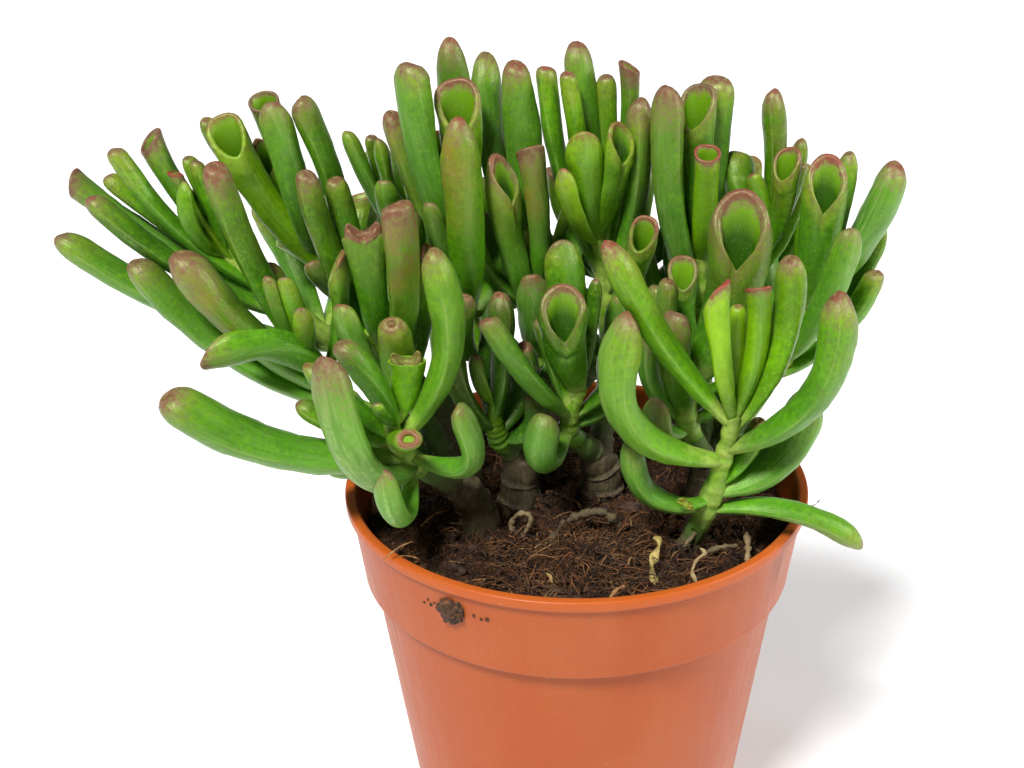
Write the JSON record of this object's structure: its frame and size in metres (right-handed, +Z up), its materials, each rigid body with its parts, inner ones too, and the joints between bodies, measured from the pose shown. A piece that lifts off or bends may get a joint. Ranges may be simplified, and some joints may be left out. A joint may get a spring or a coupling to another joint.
{
  "type": "potted hobbit jade",
  "caption": "Bushy succulent with upright finger, trumpet and spoon shaped leaves on short woody trunks, growing in a round tapered nursery pot filled with soil.",
  "frame": {"origin": "middle of the pot's flat underside", "axes": "+Z up, -Y to the front as pictured, +X to the viewer's right"},
  "size_m": [0.2093, 0.1336, 0.2162],
  "materials": {
    "pot": "satin",
    "soil": "matte",
    "bark": "matte",
    "leaf": "satin"
  },
  "bodies": {
    "root": {"pot": "pot", "soil": "soil", "trunk_back": "bark", "trunk_back_right": "bark", "trunk_centre": "bark", "trunk_far_left": "bark", "trunk_front_right": "bark", "trunk_left": "bark", "trunk_middle": "bark", "trunk_right": "bark", "shoot_back_left": "leaf", "shoot_back_middle": "leaf", "shoot_back_right": "leaf", "shoot_centre": "leaf", "shoot_far_left": "leaf", "shoot_far_right": "leaf", "shoot_front_left": "leaf", "shoot_front_right": "leaf", "shoot_high_left": "leaf", "shoot_high_right": "leaf", "shoot_inner_right": "leaf", "shoot_low_left": "leaf", "shoot_low_middle": "leaf", "shoot_mid_left": "leaf", "shoot_mid_right": "leaf", "shoot_tall_left": "leaf", "shoot_top_left": "leaf", "shoot_top_middle": "leaf", "shoot_top_right": "leaf"}
  },
  "joints": []
}
